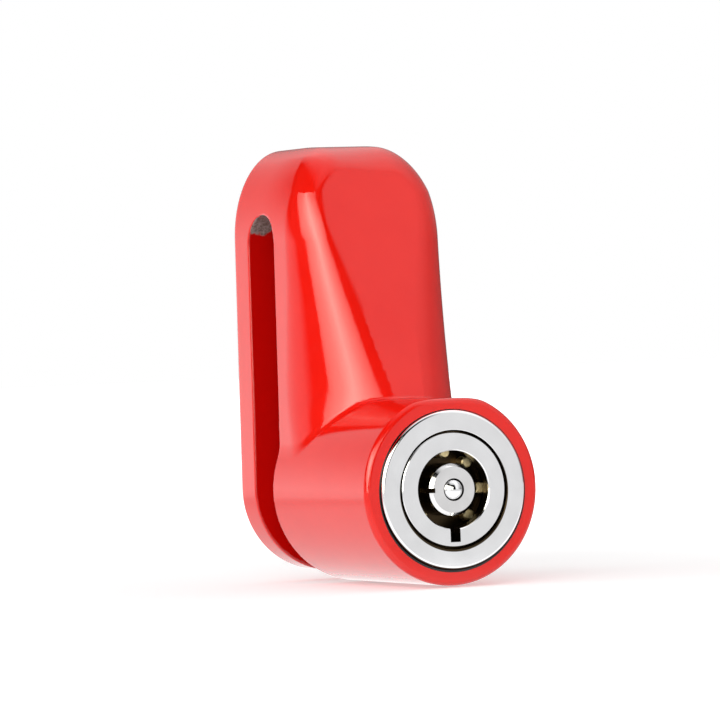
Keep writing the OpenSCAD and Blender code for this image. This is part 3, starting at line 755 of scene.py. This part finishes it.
specks = effect("specks", {"Pitch": 2.0, "Radius": 0.1, "Share": 0.2}, ["Mask"], speck_recipe)
# Painted shade: a mask that darkens gaps and recesses where shade falls.
gap_shade = effect(
    "gap_shade", {"Face": Y_FACE, "Depth": 0.1, "Reach": 99.0, "Inner": 0.0, "Outer": 99.0, "Shift": 0.0},
    ["Mask"], gap_shade_recipe)


# %% Start a finish
def finish(name, **plain):
    """A new material's node tree and its Principled shader, with the plain values set on the shader."""
    made = bpy.data.materials.new(name)
    made.use_nodes = True
    shader = made.node_tree.nodes["Principled BSDF"]
    for label, value in plain.items():
        shader.inputs[label].default_value = value
    return made, made.node_tree, shader


def dent(tree, shader, height, depth):
    """Bumps the shader's normal by a height, depth in mm."""
    bump = place_node(tree, "ShaderNodeBump", {"Height": height, "Distance": depth * MM, "Strength": 1.0})
    tree.links.new(bump.outputs[0], shader.inputs["Normal"])


def toned(tree, mask, low, high):
    """A colour mixed from low to high by a mask; either may be a socket."""
    mix = place_node(tree, "ShaderNodeMix", {0: mask, 6: low, 7: high}, data_type="RGBA")
    return mix.outputs[2]


# %% [markdown]
# ## Red paint
#
# The casting is sprayed and baked. The paint is a deep glossy red with a faint orange peel. Inside the
# slot's round top the spray hardly reached, so the raw casting shows through, grey and rough. The mask for
# that place is worked out from the same slot formula as the shape. The slot's walls take a darker red as
# painted shade, and a painted shadow lines the gap round the collar, thicker below.

# %% Paint the casting
# The slot's red is painted shade: a darker red for the slot's walls, where shade falls inside the slot.
RED, RED_PALE, SLOT_SHADE_RED = (0.86, 0.009, 0.004, 1), (0.90, 0.013, 0.006, 1), (0.55, 0.002, 0.001, 1)
# The near-black colour on the next line and the bore's mask values paint shade into the gap round the collar,
# thicker below.
RAW_DARK, RAW_PALE, PAINT_GAP_SHADE = (0.10, 0.06, 0.05, 1), (0.34, 0.27, 0.25, 1), (0.012, 0.008, 0.007, 1)
BORE_GAP_SHADE = dict(Face=Y_FACE, Depth=-0.14, Reach=11.0, Inner=BORE_R + 0.23, Shift=-0.13)
RAW_ROUGH, SLOT_ROUGH = 0.45, 0.08
PEEL_DEPTH, PITS_PER_PEEL = 0.0024, 20.0


def paint_finish():
    """Red gloss. The casting is bare inside the slot, close under its round top, where noise is high: the
    three masks are multiplied and cut off softly. The slot's walls are painted a darker red as painted shade,
    and the gap round the collar gets a painted shadow."""
    made, tree, shader = finish("red_paint", IOR=1.5)
    spot = spot_of(tree)
    _, y, z = place_node(tree, "ShaderNodeSeparateXYZ", {0: spot}).outputs
    above = calc(tree, "SUBTRACT", z, (SLOT_TOP - SLOT_W / 2) * MM)
    rise = calc(tree, "MAXIMUM", above, 0.0)
    square = calc(tree, "ADD", calc(tree, "MULTIPLY", y, y), calc(tree, "MULTIPLY", rise, rise))
    reach = calc(tree, "SQRT", square)
    in_slot = between(tree, reach, (SLOT_W / 2 + 0.15) * MM, (SLOT_W / 2 + 0.02) * MM)
    high = between(tree, above, 0.0, 3.2 * MM)
    patchy = use(tree, clouds, Size=1.6, Low=0.2, High=1.0)["Value"]
    bare = between(tree, calc(tree, "MULTIPLY", calc(tree, "MULTIPLY", in_slot, high), patchy), 0.20, 0.34)
    tone = use(tree, clouds, Size=9.0, Low=0.0, High=1.0)["Value"]
    red = toned(tree, tone, RED, RED_PALE)
    grit = use(tree, clouds, Size=0.35, Low=0.0, High=1.0)["Value"]
    raw = toned(tree, grit, RAW_DARK, RAW_PALE)
    # Painted shade: the slot's walls take the darker slot red.
    coat = toned(tree, bare, toned(tree, in_slot, red, SLOT_SHADE_RED), raw)
    # Painted shadow: the gap round the collar is darkened nearly to black.
    coat = toned(tree, use(tree, gap_shade, **BORE_GAP_SHADE)["Mask"], coat, PAINT_GAP_SHADE)
    tree.links.new(coat, shader.inputs["Base Color"])
    gloss = use(tree, clouds, Size=3.0, Low=0.07, High=0.11)["Value"]
    rough = calc(tree, "ADD", gloss, calc(tree, "MULTIPLY", bare, RAW_ROUGH))
    rough = calc(tree, "ADD", rough, calc(tree, "MULTIPLY", in_slot, SLOT_ROUGH))
    tree.links.new(rough, shader.inputs["Roughness"])
    peel = use(tree, clouds, Size=0.9, Low=0.0, High=1.0)["Value"]
    pits = calc(tree, "MULTIPLY", calc(tree, "MULTIPLY", grit, bare), PITS_PER_PEEL)
    dent(tree, shader, calc(tree, "ADD", peel, pits), PEEL_DEPTH)
    return made


red_paint = paint_finish()
painted_body.data.materials.append(red_paint)
print("paint:", len(red_paint.node_tree.nodes), "nodes")

# %% [markdown]
# ## Metals
#
# Chrome over turned steel, brass pins, drawn wire, ground and blackened steel: each is a metallic shader whose
# colour and roughness vary by clouds, with turning marks in the roughness and the bump where the piece came
# off a lathe. Specks darken the chrome here and there, as the dust on the real face does, and painted shade
# darkens the gaps between the rings and the deep recesses of the cylinder's face.

# %% One recipe for the metals
# The first colour on the next line is painted shade, near black, for the gaps and recesses of the metals.
METAL_GAP_SHADE, DUST = (0.050, 0.034, 0.018, 1), (0.12, 0.11, 0.10, 1)
GAP_SHADE_ROUGH, DUST_ROUGH, RING_ROUGH = 0.2, 0.4, 0.05


def metal_finish(
        name, dark, light, rough, marks=0.0, spacing=0.08, speck=0.0, patch=3.0, face=Y_FACE, dirt=()):
    """A metal from two tones mixed by clouds of patch mm, with roughness from low to high. marks = depth of
    the turning in mm, speck = share of cells with dust. The last argument lists the places behind the plane
    y = face where painted shade darkens the metal, each as values for the gap shade mask."""
    made, tree, shader = finish(name, Metallic=1.0)
    tone = toned(tree, use(tree, clouds, Size=patch, Low=0.0, High=1.0)["Value"], (*dark, 1), (*light, 1))
    gloss = use(tree, clouds, Size=patch * 0.6, Low=rough[0], High=rough[1])["Value"]
    if speck:
        dust = use(tree, specks, Pitch=1.7, Radius=0.13, Share=speck)["Mask"]
        tone = toned(tree, dust, tone, DUST)
        gloss = calc(tree, "ADD", gloss, calc(tree, "MULTIPLY", dust, DUST_ROUGH))
    # Painted shade: each listed gap or recess is darkened towards near black and made rougher.
    for gap in dirt:
        mask = use(tree, gap_shade, Face=face, **gap)["Mask"]
        tone = toned(tree, mask, tone, METAL_GAP_SHADE)
        gloss = calc(tree, "ADD", gloss, calc(tree, "MULTIPLY", mask, GAP_SHADE_ROUGH))
    if marks:
        rings = use(tree, turning_marks, Spacing=spacing)["Height"]
        wave = calc(tree, "MULTIPLY", calc(tree, "SUBTRACT", rings, 0.5), RING_ROUGH)
        gloss = calc(tree, "ADD", gloss, wave)
        dent(tree, shader, rings, marks)
    tree.links.new(tone, shader.inputs["Base Color"])
    tree.links.new(gloss, shader.inputs["Roughness"])
    return made


# %% Metals of the lock
Y_CORE_FACE = -32.9
CHROME = dict(
    dark=(0.86, 0.86, 0.87), light=(0.93, 0.93, 0.94), rough=(0.07, 0.12), marks=0.0006, spacing=0.09,
    speck=0.10)
# The lists of places below paint shade into the gaps round the collar and the core and into the deep recesses
# of the cylinder's face.
collar_chrome = metal_finish("collar_chrome", **CHROME, face=Y_COLLAR_FACE, dirt=[
    dict(Depth=0.03, Inner=7.84), dict(Depth=0.46, Outer=10.2),
    dict(Depth=-0.2, Inner=7.86, Shift=-0.18), dict(Depth=-0.2, Outer=10.36, Shift=0.2)])
metals = {
    "chrome": metal_finish("core_chrome", **CHROME, face=Y_CORE_FACE, dirt=[
        dict(Depth=0.3, Inner=7.1), dict(Depth=0.1, Outer=7.38, Reach=1.3),
        dict(Depth=-0.2, Outer=7.48, Reach=1.3, Shift=0.15)]),
    "spindle_plating": metal_finish(
        "spindle_plating", (0.78, 0.77, 0.77), (0.88, 0.87, 0.87), (0.09, 0.15), marks=0.0006, speck=0.10,
        face=Y_CORE_FACE, dirt=[dict(Depth=0.9, Inner=99.0), dict(Depth=0.08, Inner=1.6)]),
    "ball_steel": metal_finish("ball_steel", (0.84, 0.84, 0.85), (0.92, 0.92, 0.93), (0.03, 0.05)),
    "brass": metal_finish("brass", (0.88, 0.72, 0.38), (0.97, 0.84, 0.52), (0.34, 0.44), patch=0.8),
    "spring_wire": metal_finish("spring_wire", (0.42, 0.42, 0.43), (0.56, 0.56, 0.57), (0.22, 0.34), patch=1.2),
    "pin_steel": metal_finish("pin_steel", (0.55, 0.55, 0.56), (0.66, 0.66, 0.67), (0.18, 0.28), patch=1.0),
    "hard_steel": metal_finish("hard_steel", (0.20, 0.20, 0.22), (0.32, 0.31, 0.31), (0.28, 0.42), patch=1.5),
    "bolt_steel": metal_finish(
        "bolt_steel", (0.60, 0.60, 0.62), (0.72, 0.72, 0.74), (0.12, 0.24), marks=0.0012, spacing=0.12),
}
for piece in (return_spring, latch_spring, pin_springs):
    piece.data.materials.append(metals["spring_wire"])
collar.data.materials.append(collar_chrome)
print("metals:", ", ".join(metals))

# %% Dress the CAD nodes
for name, node in nodes.items():
    slot_name = node.material_slots[0].material.name.split(".")[0]
    node.material_slots[0].material = metals.get(slot_name, red_paint)
    print(name, "wears", node.material_slots[0].material.name)

# %% [markdown]
# ## Floor and light
#
# The photograph is a plain studio picture on white. The floor is a pale sheet under the boss. To the camera
# it adds light of its own, more with the distance, so that it looks white and still keeps the shadow. To
# mirror and glass rays it is a plain glow, brighter at the back. The world is white to all these rays and a
# softer grey to the diffuse light. Two large soft boxes, a strong one at the left front and a weak one
# further round, light the paint evenly, and gloss doesn't show them.

# %% Lay the floor
FLOOR_Z, FLOOR_HALF = -12.7, 3000.0


def blank(name):
    """A material without nodes, and its tree."""
    made = bpy.data.materials.new(name)
    made.use_nodes = True
    made.node_tree.nodes.clear()
    return made, made.node_tree


corners = np.array([[-1, -1], [1, -1], [1, 1], [-1, 1]]) * FLOOR_HALF
floor = make_piece("floor", np.column_stack([corners, np.full(4, FLOOR_Z)]), [np.array([[0, 1, 2, 3]])])
paper, tree = blank("floor")
floor.data.materials.append(paper)
matt = place_node(tree, "ShaderNodeBsdfDiffuse", {"Color": (0.85, 0.85, 0.85, 1)})
path = place_node(tree, "ShaderNodeLightPath").outputs
spot = spot_of(tree)
far = length_of(tree, spot)
white = between(tree, far, low=0.05, high=0.20, out_low=0.42)
strength = calc(tree, "MULTIPLY", path["Is Camera Ray"], white)
glow = place_node(tree, "ShaderNodeEmission", {"Strength": strength})
lit = place_node(tree, "ShaderNodeAddShader", {0: matt.outputs[0], 1: glow.outputs[0]})
shine = calc(tree, "MAXIMUM", path["Is Glossy Ray"], path["Is Transmission Ray"])
depth = place_node(tree, "ShaderNodeSeparateXYZ", {0: spot}).outputs["Y"]
behind = between(tree, depth, low=0.03, high=0.15, out_low=0.8, out_high=1.6)
shown = between(tree, far, low=0.04, high=0.12, out_low=1.3, out_high=behind)
mirrored = place_node(tree, "ShaderNodeEmission", {"Strength": shown})
both = place_node(tree, "ShaderNodeMixShader", {0: shine, 1: lit.outputs[0], 2: mirrored.outputs[0]})
place_node(tree, "ShaderNodeOutputMaterial", {"Surface": both.outputs[0]})
print("floor at", FLOOR_Z, "mm")

# %% White world
SKY_DIFFUSE = 0.54
scene = bpy.context.scene
scene.view_settings.view_transform = "Standard"
sky = bpy.data.worlds.new("studio")
sky.use_nodes = True
scene.world = sky
tree = sky.node_tree
path = place_node(tree, "ShaderNodeLightPath").outputs
seen = calc(tree, "MAXIMUM", path["Is Camera Ray"], path["Is Glossy Ray"])
seen = calc(tree, "MAXIMUM", seen, path["Is Transmission Ray"])
level = calc(tree, "ADD", SKY_DIFFUSE, calc(tree, "MULTIPLY", seen, 1 - SKY_DIFFUSE))
tree.links.new(level, tree.nodes["Background"].inputs["Strength"])
tree.nodes["Background"].inputs["Color"].default_value = (1, 1, 1, 1)
print("world: 1.0 to camera and gloss,", SKY_DIFFUSE, "to diffuse light")

# %% Soft boxes
MIDDLE = np.array([0.0, -8.0, 20.0])


def aim(azimuth, elevation):
    """Unit vectors at azimuths from the key side towards the left, and elevations, in degrees."""
    a, e = np.radians(azimuth), np.radians(elevation)
    return np.array([-np.sin(a) * np.cos(e), -np.cos(a) * np.cos(e), np.sin(e)])


def soft_box(name, azimuth, elevation, radiance, size=900, distance=1000):
    """A square area lamp facing the lock, sizes in mm. Its power is radiance * pi * area in square metres."""
    lamp = bpy.data.lights.new(name, "AREA")
    lamp.shape, lamp.size, lamp.size_y = "RECTANGLE", size * MM, size * MM
    lamp.energy = radiance * np.pi * size * size * MM ** 2
    obj = bpy.data.objects.new(name, lamp)
    back = aim(azimuth, elevation)
    right = unit(np.cross([0, 0, 1], back))
    stand = np.eye(4)
    stand[:3, :3] = np.stack([right, np.cross(back, right), back], axis=1)
    stand[:3, 3] = (MIDDLE + back * distance) * MM
    obj.matrix_world = Matrix(stand.tolist())
    obj.visible_camera = obj.visible_glossy = False
    scene.collection.objects.link(obj)
    print(name, "power", round(lamp.energy, 3), "W")


soft_box("key_box", azimuth=42, elevation=10, radiance=2.95)
soft_box("left_fill", azimuth=110, elevation=25, radiance=0.65)

# %% [markdown]
# ## Reflections
#
# Gloss shows what stands round the lock. In this studio that is a tall strip at the left, which draws the long
# highlight down the casting's corner, a pale wall behind it, a bright card at the right front, a wall at the
# right, a soft box overhead, and dark cards in the gaps, which cut the long highlight clean. Each is a patch
# of a sphere about the lock that only glossy rays see, so they shape the reflections and leave the even
# light alone.

# %% Cards for the reflections
def finer(grid, axis, parts=8):
    """Linear steps between neighbours along one axis: g[i] * (1 - f) + g[i + 1] * f at each share f."""
    t = np.linspace(0, grid.shape[axis] - 1, (grid.shape[axis] - 1) * parts + 1)
    i = np.minimum(t.astype(int), grid.shape[axis] - 2)
    f = (t - i)[:, None, None] if axis == 0 else (t - i)[None, :, None]
    return np.take(grid, i, axis) * (1 - f) + np.take(grid, i + 1, axis) * f


def card(name, azimuths, elevations, radiances, distance=1500.0, tint=(1, 1, 1, 1)):
    """A patch of a sphere about the lock, from rows of points with their azimuths, elevations and radiances.
    Directions and radiances are mixed linearly from point to point."""
    rows = np.reshape(elevations, (len(elevations), -1))
    fine = finer(finer(np.stack(np.broadcast_arrays(azimuths, rows, radiances), axis=-1), 0), 1)
    points = MIDDLE + distance * aim(fine[..., 0].ravel(), fine[..., 1].ravel()).T
    obj = make_piece(name, points, [grid_faces(*fine.shape[:2], closed=False)])
    obj.data.attributes.new("glow", "FLOAT", "POINT").data.foreach_set("value", fine[..., 2].ravel())
    made, tree = blank(name)
    level = place_node(tree, "ShaderNodeAttribute", attribute_name="glow").outputs["Fac"]
    glow = place_node(tree, "ShaderNodeEmission", {"Color": tint, "Strength": level})
    place_node(tree, "ShaderNodeOutputMaterial", {"Surface": glow.outputs[0]})
    obj.data.materials.append(made)
    obj.visible_camera = obj.visible_diffuse = obj.visible_shadow = False
    obj.visible_transmission = obj.visible_volume_scatter = False


# %% The strip and its shade
strip_levels = np.array([2.6, 4.2, 5.6, 9.6, 5.0, 3.2, 1.8])
card(
    "strip_box",
    [[73, 66, 54, 38, 22, 12, 6], [73, 66, 54, 38, 22, 12, 6], [92, 80, 65, 48, 21, 9, 0],
     [95, 86, 73, 54, 24, 9, 2], [103, 88, 80, 62, 34, 21, 9], [113, 97, 89, 71, 47, 36, 24],
     [120, 103, 92, 84, 68, 49, 30], [122, 105, 92, 84, 68, 49, 30]],
    [[-12] * 7, [5, 7, 9, 12, 15, 18, 19], [11, 13, 15, 17, 20, 22, 23], [15, 16, 18, 20, 22, 24, 25],
     [20, 21, 22, 24, 25, 26, 27], [24, 26, 27, 28, 29, 30, 30], [27, 30, 31, 32, 33, 34, 33],
     [33, 36, 37, 39, 40, 40, 40]],
    np.outer([0.40, 0.95, 1, 1, 0.95, 0.85, 0.70, 0.60], strip_levels), tint=(1.0, 0.98, 0.86, 1))
card("camera_shade", [33, 19], [-6, 7], 0.05, 1400)

# %% Walls and dark cards
card("dark_cards", [182, 120, 60, 0, -30], [-8, 66], 0.0, 1700)
card(
    "left_wall", [182, 168, 155, 143, 128, 112, 96],
    [[-60] * 7, [-2.5] * 7, [22, 16, 8, 7, 4, 3, 1], [38, 34, 24, 16, 11, 7, 3]],
    [[1.4, 1.6, 1.7, 1.5, 1.2, 1.1, 0.0], [1.5, 1.7, 1.75, 1.5, 1.2, 1.05, 0.0],
     [0.8, 0.85, 1.15, 0.9, 1.05, 1.0, 0.0], [0.6, 0.4, 0.15, 0.0, 0.0, 0.0, 0.0]], 420)
card("front_rise", [[-16, -29], [-14, -28]], [4, 47], [0.0, 1.1], 1600)
card("front_card", [-28, -46], [4, 47], [[1.15, 1.0], [1.2, 1.0]], 1605)
card("grey_card_front", [-18, -46], [-40, 14], 0.82, 1610)
card(
    "right_wall", [-45, -74, -100, -130, -150, -165, -178], [-30, -6, 2, 8, 16, 32, 46, 60, 88],
    [[0.95, 0.2, 0.1, 0.1, 0.1, 0.9, 1.2], [0.95, 0.2, 0.1, 0.1, 0.05, 0.4, 0.9],
     [0.95, 0.3, 0.12, 0.12, 0.1, 0.1, 0.6], [0.95, 0.4, 0.35, 0.4, 0.25, 0.1, 0.6],
     [1.0, 0.6, 0.5, 0.4, 0.4, 0.4, 0.6], [1.1, 0.85, 0.6, 0.6, 1.0, 0.9, 0.9],
     [1.35, 1.25, 1.0, 1.1, 1.35, 1.4, 1.3], [1.5, 1.5, 1.55, 1.5, 1.45, 1.4, 1.3], [1.1] * 7], 1620)
card(
    "top_box", [182, 165, 146, 125, 95, 60, 30, -10, -25, -45],
    [[26, 44, 53, 58, 61, 58, 50, 46, 46, 46], [46, 58, 64, 70, 74, 74, 68, 62, 60, 60], [88] * 10],
    [[0.4, 0.1, 0.0, 0.0, 0.0, 0.1, 0.3, 0.6, 0.8, 1.3], [1.0, 0.75, 0.6, 0.55, 0.6, 0.75, 0.8, 0.8, 0.9, 1.4],
     [1.1] * 10], 1550)
